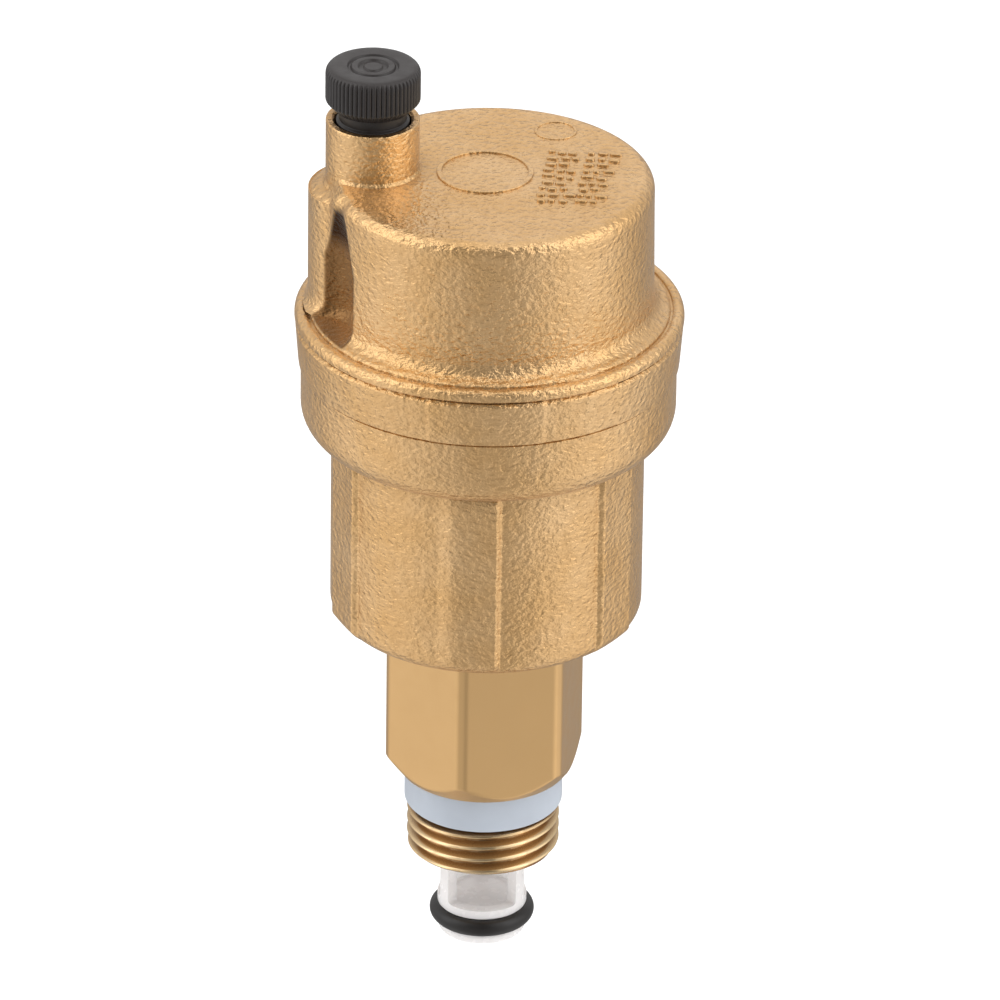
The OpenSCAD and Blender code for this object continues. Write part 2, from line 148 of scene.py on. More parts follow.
def wall(r0, z0, r1, z1, step):
    """Points along a straight stretch, no further apart than step."""
    count = max(1, math.ceil(math.hypot(r1 - r0, z1 - z0) / step))
    return [(r0 + (r1 - r0) * i / count, z0 + (z1 - z0) * i / count) for i in range(count + 1)]


def smooth(x, low, high):
    """0 below low and 1 above high, with a smooth rise between them."""
    t = np.clip((x - low) / (high - low), 0, 1)
    return t * t * (3 - 2 * t)


def soft_min(a, b, width):
    """The smaller of a and b, with the corner between them rounded over width."""
    h = np.clip(0.5 + 0.5 * (b - a) / width, 0, 1)
    return b + (a - b) * h - width * h * (1 - h)


def soft_max(a, b, width):
    """The larger of a and b, rounded in the same way."""
    return -soft_min(-a, -b, width)


def angles_round(count, bands=()):
    """Angles round an axis: count even ones, and finer ones in each (start, end, step) band."""
    turns = [np.arange(count) * 360 / count]
    turns += [np.arange(start, end + step / 2, step) % 360 for start, end, step in bands]
    return np.unique(np.round(np.concatenate(turns), 4))


def off_centre(phi, centres):
    """Signed angle from the nearest of several directions."""
    gaps = (phi[..., None] - np.asarray(centres, float) + 180) % 360 - 180
    nearest = np.abs(gaps).argmin(axis=-1)
    return np.take_along_axis(gaps, nearest[..., None], axis=-1)[..., 0]


# ---------- meshes ----------

def solid(name, points, faces, materials, body, replaced=(), sharp=32):
    """A piece from points in millimetres and faces, smooth apart from its sharp edges."""
    mesh = bpy.data.meshes.new(name)
    mesh.from_pydata((np.asarray(points) * MM).tolist(), [], faces)
    mesh.shade_smooth()
    mesh.set_sharp_from_angle(angle=math.radians(sharp))
    piece = bpy.data.objects.new(name, mesh)
    for made in materials:
        mesh.materials.append(made)
    bpy.context.scene.collection.objects.link(piece)
    if body:
        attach(piece, body)
    if replaced:
        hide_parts(*replaced)
    return piece


def revolved(path, turns, shape=None, centre=(0, 0), closed=True):
    """Points and faces of a path of (r, z) points turned about an upright axis at centre.

    The solid lies to the left of the path. A path that isn't closed starts and ends on the
    axis. shape(r, z, phi) may move the points.
    """
    r, z = np.array(path, float).T
    if not closed:
        ends = z[0], z[-1]
        r, z = r[1:-1], z[1:-1]
    r, phi = np.meshgrid(r, turns, indexing="ij")
    z = np.repeat(z[:, None], len(turns), axis=1)
    if shape:
        r, z = shape(r, z, phi)
    rows, columns = r.shape
    grid = np.stack((centre[0] + r * np.cos(np.radians(phi)), centre[1] + r * np.sin(np.radians(phi)), z), -1)
    points = grid.reshape(-1, 3)
    index = np.arange(rows * columns).reshape(rows, columns)
    low = index if closed else index[:-1]
    high = np.roll(index, -1, axis=0) if closed else index[1:]
    faces = np.stack((low, np.roll(low, -1, 1), np.roll(high, -1, 1), high), -1).reshape(-1, 4).tolist()
    if not closed:
        points = np.vstack((points, (*centre, ends[0]), (*centre, ends[1])))
        first, last = len(points) - 2, len(points) - 1
        for j in range(columns):
            k = (j + 1) % columns
            faces.append([first, index[0, k], index[0, j]])
            faces.append([last, index[-1, j], index[-1, k]])
    return points, faces


def cut(piece, *others, how="DIFFERENCE"):
    """Cuts other pieces from a piece, or joins them to it, and removes them."""
    for other in others:
        step = piece.modifiers.new("cut", "BOOLEAN")
        step.operation = how
        step.solver = "MANIFOLD"
        step.object = other
        evaluated = piece.evaluated_get(bpy.context.evaluated_depsgraph_get())
        mesh = bpy.data.meshes.new_from_object(evaluated)
        piece.modifiers.clear()
        old = piece.data
        piece.data = mesh
        bpy.data.meshes.remove(old)
        mesh.name = piece.name
        bpy.data.meshes.remove(other.data)


def tool(points, faces):
    """A temporary solid for cut()."""
    return solid("tool", points, faces, [], None)


def resharpen(piece, sharp=32):
    """Smooth shading again after a cut, apart from the sharp edges."""
    piece.data.shade_smooth()
    piece.data.set_sharp_from_angle(angle=math.radians(sharp))


def coil(centre_r, wire_r, low, high, turns, centre=(0, 0), sides=12, steps=32):
    """A compression spring between two levels, with its end turns closed."""
    dead = wire_r * 2.1
    first, last = low + wire_r, high - wire_r
    t = np.linspace(0, turns, turns * steps + 1)
    z = first + dead + (last - first - 2 * dead) * (t - 1) / (turns - 2)
    z = np.where(t < 1, first + dead * t, z)
    z = np.where(t > turns - 1, last - dead * (turns - t), z)
    around = np.radians(np.arange(sides) * 360 / sides)
    r = centre_r + wire_r * np.cos(around)[None, :]
    a = 2 * math.pi * t[:, None]
    points = np.stack((centre[0] + r * np.cos(a), centre[1] + r * np.sin(a),
                       z[:, None] + wire_r * np.sin(around)[None, :]), -1).reshape(-1, 3)
    index = np.arange(len(points)).reshape(-1, sides)
    low_ring, high_ring = index[:-1], index[1:]
    faces = np.stack((low_ring, np.roll(low_ring, -1, 1), np.roll(high_ring, -1, 1), high_ring), -1)
    faces = faces.reshape(-1, 4).tolist()
    faces += [index[0][::-1].tolist(), index[-1].tolist()]
    return points, faces


# ---------- materials ----------

def shader(name, colour, metallic, roughness, **inputs):
    """A Principled material with its constant values set on the shader's own sockets."""
    made = bpy.data.materials.new(name)
    made.use_nodes = True
    node = made.node_tree.nodes["Principled BSDF"]
    values = {"Base Color": (*colour, 1), "Metallic": metallic, "Roughness": roughness}
    values.update({key.replace("_", " "): value for key, value in inputs.items()})
    for key, value in values.items():
        node.inputs[key].default_value = value
    return made, made.node_tree, node


def noise(tree, scale, detail=2.0, roughness=0.5, stretch=(1, 1, 1)):
    """Noise in the piece's own coordinates. Scale is the number of grains in a metre."""
    place = tree.nodes.new("ShaderNodeTexCoord")
    mapping = tree.nodes.new("ShaderNodeMapping")
    mapping.inputs["Scale"].default_value = stretch
    grain = tree.nodes.new("ShaderNodeTexNoise")
    grain.inputs["Scale"].default_value = scale
    grain.inputs["Detail"].default_value = detail
    grain.inputs["Roughness"].default_value = roughness
    tree.links.new(place.outputs["Object"], mapping.inputs["Vector"])
    tree.links.new(mapping.outputs["Vector"], grain.inputs["Vector"])
    return grain.outputs["Fac"]


def ramp(tree, factor, stops):
    """A colour ramp with (position, colour) stops."""
    node = tree.nodes.new("ShaderNodeValToRGB")
    elements = node.color_ramp.elements
    for i, (position, colour) in enumerate(stops):
        element = elements[i] if i < 2 else elements.new(position)
        element.position = position
        element.color = (*colour, 1)
    tree.links.new(factor, node.inputs["Fac"])
    return node.outputs["Color"]


def spread(tree, factor, low, high, from_low=0.3, from_high=0.7):
    """Maps a factor to a range of values."""
    node = tree.nodes.new("ShaderNodeMapRange")
    node.inputs["From Min"].default_value = from_low
    node.inputs["From Max"].default_value = from_high
    node.inputs["To Min"].default_value = low
    node.inputs["To Max"].default_value = high
    tree.links.new(factor, node.inputs["Value"])
    return node.outputs["Result"]


def bump(tree, node, height, distance, strength=1.0):
    """Adds relief of a depth in millimetres to a shader, over any that it already has."""
    made = tree.nodes.new("ShaderNodeBump")
    made.inputs["Distance"].default_value = distance * MM
    made.inputs["Strength"].default_value = strength
    tree.links.new(height, made.inputs["Height"])
    if node.inputs["Normal"].is_linked:
        tree.links.new(node.inputs["Normal"].links[0].from_socket, made.inputs["Normal"])
    tree.links.new(made.outputs["Normal"], node.inputs["Normal"])


def blended(tree, factor, first, second):
    """The first colour where the factor is 0, and the second where it is 1."""
    mix = tree.nodes.new("ShaderNodeMix")
    mix.data_type = "RGBA"
    tree.links.new(factor, mix.inputs["Factor"])
    for name, colour in (("A", first), ("B", second)):
        if isinstance(colour, tuple):
            mix.inputs[name].default_value = (*colour, 1)
        else:
            tree.links.new(colour, mix.inputs[name])
    return mix.outputs["Result"]


def hollows(tree, tone, painted_shade, reach, low, high):
    """The tone, turning to painted shade where little is open to view within a reach in millimetres.

    The tone is whole where the open share is high, and all painted shade where it is low.
    """
    shade = tree.nodes.new("ShaderNodeAmbientOcclusion")
    shade.samples = 6
    shade.inputs["Distance"].default_value = reach * MM
    return blended(tree, spread(tree, shade.outputs["AO"], 0, 1, low, high), painted_shade, tone)


def maths(tree, operation, first, second=0):
    """The result of a Math node on sockets or numbers."""
    node = tree.nodes.new("ShaderNodeMath")
    node.operation = operation
    for i, value in enumerate((first, second)):
        if isinstance(value, (int, float)):
            node.inputs[i].default_value = value
        else:
            tree.links.new(value, node.inputs[i])
    return node.outputs["Value"]


def in_flute(tree):
    """Two masks for the painted shade in the flutes: 1 on the floors of the cover's two flutes, and 1 towards
    the cover's top.
    """
    seam = node_box("vent_body")[1][2]
    top = seam + COVER_H
    place = tree.nodes.new("ShaderNodeTexCoord")
    split = tree.nodes.new("ShaderNodeSeparateXYZ")
    tree.links.new(place.outputs["Object"], split.inputs["Vector"])
    height = split.outputs["Z"]
    # Both flutes are folded onto one side, so that one distance serves both.
    flat = tree.nodes.new("ShaderNodeCombineXYZ")
    tree.links.new(split.outputs["X"], flat.inputs["X"])
    tree.links.new(maths(tree, "ABSOLUTE", split.outputs["Y"]), flat.inputs["Y"])
    away = []
    for centre in ((FLUTE_X * MM, FLUTE_Y * MM, 0), (0, 0, 0)):
        apart = tree.nodes.new("ShaderNodeVectorMath")
        apart.operation = "DISTANCE"
        apart.inputs[1].default_value = centre
        tree.links.new(flat.outputs["Vector"], apart.inputs[0])
        away.append(apart.outputs["Value"])
    taper_from = (top - FLUTE_TAPER_DROP) * MM
    taper = spread(tree, height, 0, (FLUTE_R - FLUTE_TIP_R) * MM, taper_from, taper_from + FLUTE_TAPER_H * MM)
    reach = maths(tree, "ADD", away[0], taper)
    inside = spread(tree, reach, 1, 0, (FLUTE_R + 0.05) * MM, (FLUTE_R + 0.4) * MM)
    above = spread(tree, height, 0, 1, (seam + 1.5) * MM, (seam + 1.9) * MM)
    below = spread(tree, height, 1, 0, (top - 2.6) * MM, (top - 1.2) * MM)
    within = spread(tree, away[1], 1, 0, (RIM_R - 2.3) * MM, (RIM_R - 2.0) * MM)
    inside = maths(tree, "MULTIPLY", inside, above)
    within = maths(tree, "MULTIPLY", below, within)
    upper = spread(tree, height, 0, 1, (seam + 12) * MM, (seam + 15) * MM)
    return maths(tree, "MULTIPLY", inside, within), upper


def second_bounce(tree, tone, pale):
    """A paler tone for what the metal shows of itself, so that hollows don't turn deep orange."""
    return blended(tree, tree.nodes.new("ShaderNodeLightPath").outputs["Is Glossy Ray"], tone, pale)


def forged_brass():
    """Hot-forged brass with a blasted grain."""
    made, tree, node = shader("forged_brass", (0.88, 0.55, 0.26), 1.0, 0.3)
    cloud = noise(tree, 90, 3.0, 0.6)
    tone = ramp(tree, cloud, [(0.3, (0.84, 0.51, 0.22)), (0.7, (0.92, 0.60, 0.305))])
    # The grain's pits are a little darker than its tops.
    grain = noise(tree, 1150, 2.0, 0.55, (1, 1, 1.5))
    tone = blended(tree, spread(tree, grain, 0.2, 0, 0.34, 0.52), tone, (0.44, 0.23, 0.08))
    # Painted shade: the hollows are darkened from the ambient occlusion within 3.5 mm.
    tone = hollows(tree, tone, (0.30, 0.16, 0.06), 3.5, -0.3, 1.0)
    # Painted shade on the floors of the flutes, darkest in their upper half.
    flute_floor, upper = in_flute(tree)
    painted_flute_shade = blended(tree, upper, (0.27, 0.14, 0.055), (0.05, 0.02, 0.006))
    tone = blended(tree, flute_floor, tone, painted_flute_shade)
    tree.links.new(second_bounce(tree, tone, (0.84, 0.66, 0.45)), node.inputs["Base Color"])
    tree.links.new(spread(tree, noise(tree, 400, 3.0), 0.25, 0.36), node.inputs["Roughness"])
    bump(tree, node, grain, 0.36, 0.9)
    bump(tree, node, noise(tree, 3800, 1.0, 0.5), 0.02, 0.6)
    return made


def machined_brass(name, roughness, colour=(0.84, 0.53, 0.24), relief=0.012, reach=3.0, low=-0.3):
    """Turned or milled brass, darkened with painted shade in its hollows. Reach and low are those of
    hollows().
    """
    made, tree, node = shader(name, colour, 1.0, roughness)
    tone = ramp(tree, noise(tree, 60, 2.0), [(0.3, tuple(0.95 * c for c in colour)), (0.7, colour)])
    # Painted shade: the hollows are darkened from the ambient occlusion within the reach.
    tone = hollows(tree, tone, (0.20, 0.09, 0.03), reach, low, 1.0)
    tree.links.new(second_bounce(tree, tone, (0.80, 0.60, 0.38)), node.inputs["Base Color"])
    gloss = spread(tree, noise(tree, 500, 3.0), roughness - 0.04, roughness + 0.05)
    tree.links.new(gloss, node.inputs["Roughness"])
    bump(tree, node, noise(tree, 900, 2.0, 0.5, (1, 1, 5)), relief, 0.6)
    return made


def moulded(name, colour, roughness, grain=1500, relief=0.02, **inputs):
    """Moulded plastic or rubber with a fine grain and a slight change of tone."""
    made, tree, node = shader(name, colour, 0.0, roughness, **inputs)
    light = tuple(min(1.0, 1.12 * c + 0.004) for c in colour)
    tone = ramp(tree, noise(tree, 120, 3.0), [(0.3, colour), (0.7, light)])
    tree.links.new(tone, node.inputs["Base Color"])
    gloss = spread(tree, noise(tree, 700, 2.0), roughness - 0.05, roughness + 0.06)
    tree.links.new(gloss, node.inputs["Roughness"])
    bump(tree, node, noise(tree, grain, 2.0), relief, 0.5)
    return made


def drawn_steel():
    """Stainless wire and sheet."""
    made, tree, node = shader("steel", (0.62, 0.62, 0.61), 1.0, 0.26)
    tone = ramp(tree, noise(tree, 300, 2.0), [(0.3, (0.55, 0.55, 0.54)), (0.7, (0.68, 0.68, 0.67))])
    tree.links.new(tone, node.inputs["Base Color"])
    bump(tree, node, noise(tree, 2500, 1.0), 0.006, 0.5)
    return made


forged = forged_brass()
turned = machined_brass("machined_brass", 0.34)
# The thread's roots take the most painted shade.
thread_brass = machined_brass("thread_brass", 0.16, (0.96, 0.71, 0.41), 0.004, 1.5, 0.46)
nozzle_brass = machined_brass("nozzle_brass", 0.28)
ring_white = moulded("ring_white", (0.46, 0.50, 0.56), 0.42, 900, 0.02, Subsurface_Weight=0.25,
                     Subsurface_Radius=(1, 1, 1), Subsurface_Scale=1 * MM)
shutter_white = moulded("shutter_white", (0.80, 0.77, 0.76), 0.25, 700, 0.015, Subsurface_Weight=0.4,
                        Subsurface_Radius=(1, 0.95, 0.9), Subsurface_Scale=2 * MM)
rubber = moulded("rubber", (0.008, 0.006, 0.005), 0.34, 1800, 0.02)
cap_plastic = moulded("cap_plastic", (0.022, 0.018, 0.017), 0.38, 1400, 0.03)
steel = drawn_steel()
inner_plastic = moulded("inner_plastic", (0.80, 0.76, 0.64), 0.4, 1000, 0.02, Subsurface_Weight=0.2,
                        Subsurface_Radius=(1, 0.9, 0.7), Subsurface_Scale=1 * MM)
lid_plastic = moulded("lid_plastic", (0.72, 0.68, 0.56), 0.42, 1000, 0.02)


# ---------- vent body ----------

def helix(phi, z, pitch, front, front_z):
    """1 on the crest and -1 in the root of a right-handed thread."""
    return np.cos(2 * math.pi * (z - front_z - pitch * (phi - front) / 360) / pitch)


def vent_body():
    """The forged body: spigot, barrel with six pads, flare, stepped rim and the float's chamber."""
    low, high = node_box("vent_body")
    foot = node_box("shutoff_body")[1][2] + 0.1
    seam = high[2] - 0.02
    flare = seam - 16.4
    floor = foot + 3.6
    ledge = seam - 9.8
    thread_bore = COVER_THREAD_R + 0.1
    spigot_r, spigot_depth, spigot_pitch = 8.33, 0.856, 1.337
    spigot_end = foot - 2.6
    crisp, slow = 1.3, 4.5
    rib_h, rib_half = 1.4, 0.8

    def shape(r, z, phi):
        apart = off_centre(phi, PAD_TURNS)
        face = PAD_FACE / np.cos(np.radians(apart)) - BODY_R
        # One side of one pad fades out slowly, and every other side is a crisp slope.
        slope = np.where(np.abs(phi - PAD_TURNS[4] + PAD_HALF) < 6, slow, crisp)
        on_pad = smooth(apart, -PAD_HALF - slope, -PAD_HALF + slope)
        on_pad = on_pad * (1 - smooth(apart, PAD_HALF - crisp, PAD_HALF + crisp))
        on_barrel = smooth(z, foot + 0.1, foot + 2.2) * (1 - smooth(z, flare - 0.5, flare))
        outside = (r > 15) & (z < flare + 0.2) & (z > foot - 0.1)
        r = r + np.where(outside, face * on_pad * on_barrel * smooth(r, 17, 20), 0)
        rim_apart = np.abs(off_centre(phi, RIM_PAD_TURNS))
        on_rim = 1 - smooth(rim_apart, RIM_PAD_HALF - 0.7, RIM_PAD_HALF + 0.7)
        r = r - np.where((r > 25.5) & (z > RIM_STEP_Z), RIM_PAD_H * (1 - on_rim), 0)
        wave = 0.5 - 0.5 * helix(phi, z, spigot_pitch, 0, 0)
        begun = smooth(z, low[2], low[2] + 0.8)
        threaded = begun * (1 - smooth(z, spigot_end - 1, spigot_end))
        on_spigot = (np.abs(r - spigot_r) < 0.01) & (z < foot - 1)
        r = r - np.where(on_spigot, spigot_depth * (wave * threaded + (1 - begun)), 0)
        across = np.abs(r * np.sin(np.radians(off_centre(phi, range(0, 360, 60)))))
        rib = 1 - smooth(across, rib_half - 0.2, rib_half + 0.2)
        on_floor = (np.abs(z - floor) < 0.01) & (r > 6.4) & (r < 15.4)
        return r, z + np.where(on_floor, rib_h * rib, 0)

    path = [(SPIGOT_BORE_R, low[2]), (7.2, low[2])]
    path += wall(spigot_r, low[2] + 0.05, spigot_r, spigot_end, spigot_pitch / 10)
    path += rounded([(spigot_r, spigot_end + 0.2, 0), (spigot_r, foot, 0.2), (17, foot, 0)])
    path += arc(BODY_R - FOOT_ROUND, foot + FOOT_ROUND, FOOT_ROUND, -90, 0, 12)
    path += wall(BODY_R, foot + FOOT_ROUND + 1, BODY_R, flare - 0.5, 1.6)
    path += arc(BODY_R + 0.4, flare - 0.4, 0.4, 180, 96, 5)
    path += arc(BODY_R + 0.05, flare + 4.1, 4.1, -84, 0, 12)
    path += wall(RIM_LOW_R, flare + 4.6, RIM_LOW_R, RIM_STEP_Z - 0.5, 1.2)
    path += rounded([(RIM_LOW_R, RIM_STEP_Z - 0.5, 0), (RIM_LOW_R, RIM_STEP_Z - 0.3, 0.08),
                     (RIM_LOW_R - 0.35, RIM_STEP_Z - 0.15, 0.06), (RIM_LOW_R - 0.35, RIM_STEP_Z, 0.06),
                     (RIM_LOW_R + 0.42, RIM_STEP_Z + 0.08, 0.14), (RIM_LOW_R + 0.47, RIM_STEP_Z + 0.5, 0)])
    path += wall(RIM_LOW_R + 0.5, RIM_STEP_Z + 0.7, RIM_R - 0.02, seam - 0.7, 0.5)
    path += rounded([(RIM_R - 0.02, seam - 0.6, 0), (RIM_R - 0.02, seam - 0.44, 0.06),
                     (RIM_R - 0.44, seam - 0.02, 0.08), (RIM_R - 0.9, seam - 0.02, 0)])
    path += [(thread_bore, seam - 0.02), (thread_bore, ledge), (FLOAT_BORE_R, ledge), (FLOAT_BORE_R, floor)]
    path += [(r, floor) for r in np.arange(15.6, 5.9, -0.8)]
    path += [(SPIGOT_BORE_R, floor)]
    edges = [turn + side for turn in PAD_TURNS for side in (-PAD_HALF - 0.8, PAD_HALF + 0.8)]
    edges += [turn + side for turn in RIM_PAD_TURNS for side in (-RIM_PAD_HALF, RIM_PAD_HALF)]
    bands = [(edge - 2.2, edge + 2.2, 0.4) for edge in edges]
    points, faces = revolved(path, angles_round(180, bands), shape)
    return solid("vent_body_forging", points, faces, [forged], "vent", ["vent_body"])


# ---------- cover ----------

def circle_exit(phi, x, y, radius):
    """Distances from the axis at which a ray enters and leaves a circle, or nan where it misses."""
    a = np.radians(phi)
    along = x * np.cos(a) + y * np.sin(a)
    inside = radius ** 2 - (x * x + y * y - along ** 2)
    half = np.sqrt(np.where(inside > 0, inside, np.nan))
    return along - half, along + half


def cover_radius(phi, z, top):
    """Outer radius of the cover: a round wall, the outlet's column, and the two flutes beside it."""
    wall_r = COVER_R - 0.2 * smooth(z, top - 20, top)
    far = np.nan_to_num(circle_exit(phi, OUTLET_X, 0, COLUMN_R)[1], nan=0.0)
    outer = soft_max(wall_r, np.where(far > 0, far, 0), 0.5)
    taper = np.clip((z - top + FLUTE_TAPER_DROP) / FLUTE_TAPER_H, 0, 1)
    flute_r = FLUTE_R - (FLUTE_R - FLUTE_TIP_R) * taper
    for side in (-1, 1):
        near = np.nan_to_num(circle_exit(phi, FLUTE_X, side * FLUTE_Y, flute_r)[0], nan=99.0)
        near = np.where(near < 5, 99.0, near)
        outer = soft_min(outer, near, 0.6)
    return outer


def column_drop(x, y):
    """How far the column's outer shoulder lies below the cover's top."""
    return COLUMN_DROP * smooth(np.hypot(x, y), 20.2, 21.8)


def cover():
    """The forged cover: skirt, flange, wall with column and flutes, outlet, bore and raised marks."""
    low, high = node_box("cover")
    seam = node_box("vent_body")[1][2]
    top = seam + COVER_H
    ceiling = seam + 18.8
    crown = 1.8
    fillet = 2.2
    flange_top = seam + 1.95

    def shape(r, z, phi):
        on_wall = (z > flange_top - 0.001) & (r > 0.02)
        outer = cover_radius(phi, np.clip(z, flange_top + 0.4, top - crown), top)
        extra = smooth(outer, COVER_R + 0.2, COVER_R + 1.6)
        round_r = crown + extra
        inset = COVER_R - r
        # Points of the wall keep their distance from the outline, and those of the top spread to it.
        on_top = r * (outer - round_r) / (COVER_R - crown)
        scaled = np.where(inset > crown, on_top, outer - inset * round_r / crown)
        reach = np.minimum(fillet, RIM_R - 0.95 - outer)
        scaled = np.where(inset < 0, outer - inset * reach / fillet, scaled)
        x = scaled * np.cos(np.radians(phi))
        y = scaled * np.sin(np.radians(phi))
        near_column = 1 - smooth(np.hypot(x - OUTLET_X, y), COLUMN_R - 0.3, COLUMN_R + 0.4)
        drop = column_drop(x, y) * near_column * smooth(z, top - 5, top - 2)
        on_ceiling = (np.abs(z - ceiling) < 0.01) & (r < FLOAT_BORE_R + 0.8)
        outside = on_wall & ~on_ceiling
        return np.where(outside, scaled, r), np.where(outside, z - drop, z)

    path = [(0, ceiling), (6, ceiling), (12, ceiling), (FLOAT_BORE_R, ceiling), (FLOAT_BORE_R, low[2])]
    path += [(COVER_THREAD_R - 0.85, low[2])]
    path += wall(COVER_THREAD_R, low[2] + 0.4, COVER_THREAD_R, seam - 0.6, 0.15)
    path += [(COVER_THREAD_R, seam + 0.04)]
    path += rounded([(RIM_R - 1, seam + 0.06, 0), (RIM_R - 0.4, seam + 0.06, 0.08),
                     (RIM_R - 0.02, seam + 0.42, 0.08), (RIM_R - 0.02, seam + 0.6, 0)])
    path += arc(RIM_R - 1.02, seam + 0.74, 1.0, 5, 100, 11)
    path += rounded([(RIM_R - 1.3, seam + 1.71, 0), (RIM_R - 1.5, seam + 1.6, 0.06),
                     (RIM_R - 1.6, seam + 1.36, 0.06), (RIM_R - 1.9, seam + 1.36, 0.06),
                     (RIM_R - 2.0, seam + 1.72, 0.1), (RIM_R - 2.2, seam + 1.88, 0)])
    path += arc(COVER_R + fillet, flange_top + fillet, fillet, 258, 184, 9)
    path += wall(COVER_R, flange_top + fillet, COVER_R, top - crown - 0.3, 0.45)
    path += arc(COVER_R - crown, top - crown, crown, 4, 88, 9)
    path += [(r, top) for r in np.linspace(COVER_R - crown - 0.1, 0.8, 26)]
    path += [(0, top)]
    turns = angles_round(180, [(134, 226, 0.5), (138, 170, 0.25), (190, 222, 0.25)])
    points, faces = revolved(path, turns, shape, closed=False)
    piece = solid("cover_forging", points, faces, [forged], "vent", ["cover"])

    outlet(piece, seam, top, ceiling, high[2])
    for relief in cover_relief(top):
        cut(piece, relief, how="UNION")
    resharpen(piece)
    return piece


def outlet(piece, seam, top, ceiling, boss_top):
    """Joins the outlet's tube to the cover and bores it through."""
    turns = angles_round(120)

    def boss_foot(r, z, phi):
        x = OUTLET_X + r * np.cos(np.radians(phi))
        y = r * np.sin(np.radians(phi))
        return r, z - column_drop(x, y) * (1 - smooth(z, top + 1, top + 3))

    boss = [(0, top - 2.5), (OUTLET_R + 0.45, top - 2.5)]
    boss += rounded([(OUTLET_R + 0.45, top - 0.2, 0), (OUTLET_R + 0.35, top + 0.04, 0.08),
                     (OUTLET_R, top + 0.4, 0.3), (OUTLET_R, top + 3, 0)])
    boss += rounded([(OUTLET_R, boss_top - 1, 0), (OUTLET_R, boss_top, 0.25), (0, boss_top, 0)])
    cut(piece, tool(*revolved(boss, turns, boss_foot, (OUTLET_X, 0), closed=False)), how="UNION")

    seat, guide_r, nozzle_r = boss_top - 5.8, 5.65, 3.25
    bore = [(0, seam + 4.6), (guide_r, seam + 4.6), (guide_r, ceiling + 0.01)]
    bore += [(nozzle_r, ceiling + 0.01), (nozzle_r, seat)]
    bore += rounded([(OUTLET_BORE_R, seat, 0), (OUTLET_BORE_R, boss_top - 0.35, 0.15),
                     (OUTLET_BORE_R + 0.4, boss_top + 0.05, 0), (OUTLET_BORE_R + 0.4, boss_top + 2, 0)])
    bore += [(0, boss_top + 2)]
    cut(piece, tool(*revolved(bore, turns, None, (OUTLET_X, 0), closed=False)))


def cover_relief(top):
    """Plain raised marks on the cover: two rings, and two columns of rows of short bars."""
    turns = angles_round(96)
    height, sunk = 0.3, 0.6
    columns = ((6.6, 10.7, 0.0), (11.7, 15.6, 0.4))
    rows, first_y, row_gap = 9, 7.9, 1.85

    def band(outer, inner, x, y, h):
        loop = rounded([(inner, top - sunk, 0), (outer, top - sunk, 0), (outer, top + h, 0.12),
                        (inner, top + h, 0.12)], closed=True)
        return tool(*revolved(loop, turns, None, (x, y)))

    draw = random.Random(7)
    points, faces = [], []
    for row in range(rows):
        for left, right, shift in columns:
            x = left + draw.uniform(0, 0.4)
            y = first_y - row * row_gap + shift
            while x < right - 0.5:
                length = draw.uniform(0.8, 1.8)
                more_points, more_faces = bar(x + length / 2, y + draw.uniform(-0.25, 0.25), length,
                                              draw.uniform(0.65, 0.85), top - sunk, top + height)
                faces += [[i + len(points) for i in face] for face in more_faces]
                points += more_points
                x += length + draw.uniform(0.2, 0.45)
    return [band(6.5, 5.8, -0.9, 0.6, 0.24), band(2.9, 2.45, 6.9, 14.6, 0.14), tool(points, faces)]


def bar(x, y, length, width, low, high):
    """Points and faces of an upright-sided bar with round ends and a softened top."""
    rings = []
    for inset, z in ((0, low), (0, high - 0.14), (0.05, high - 0.04), (0.14, high)):
        half = width / 2 - inset
        reach = max(length - width, 0.1) / 2
        turns = [(side, math.radians(a)) for side, start in ((1, -90), (-1, 90))
                 for a in range(start, start + 181, 30)]
        rings.append([(x + reach * side + half * math.cos(a), y + half * math.sin(a), z)
                      for side, a in turns])
    count = len(rings[0])
    points = [point for ring in rings for point in ring]
    faces = []
    for first in range(0, len(points) - count, count):
        for j in range(count):
            k = (j + 1) % count
            faces.append([first + j, first + k, first + count + k, first + count + j])
    faces += [list(range(count))[::-1], list(range(len(points) - count, len(points)))]
    return points, faces


# ---------- shut-off valve ----------

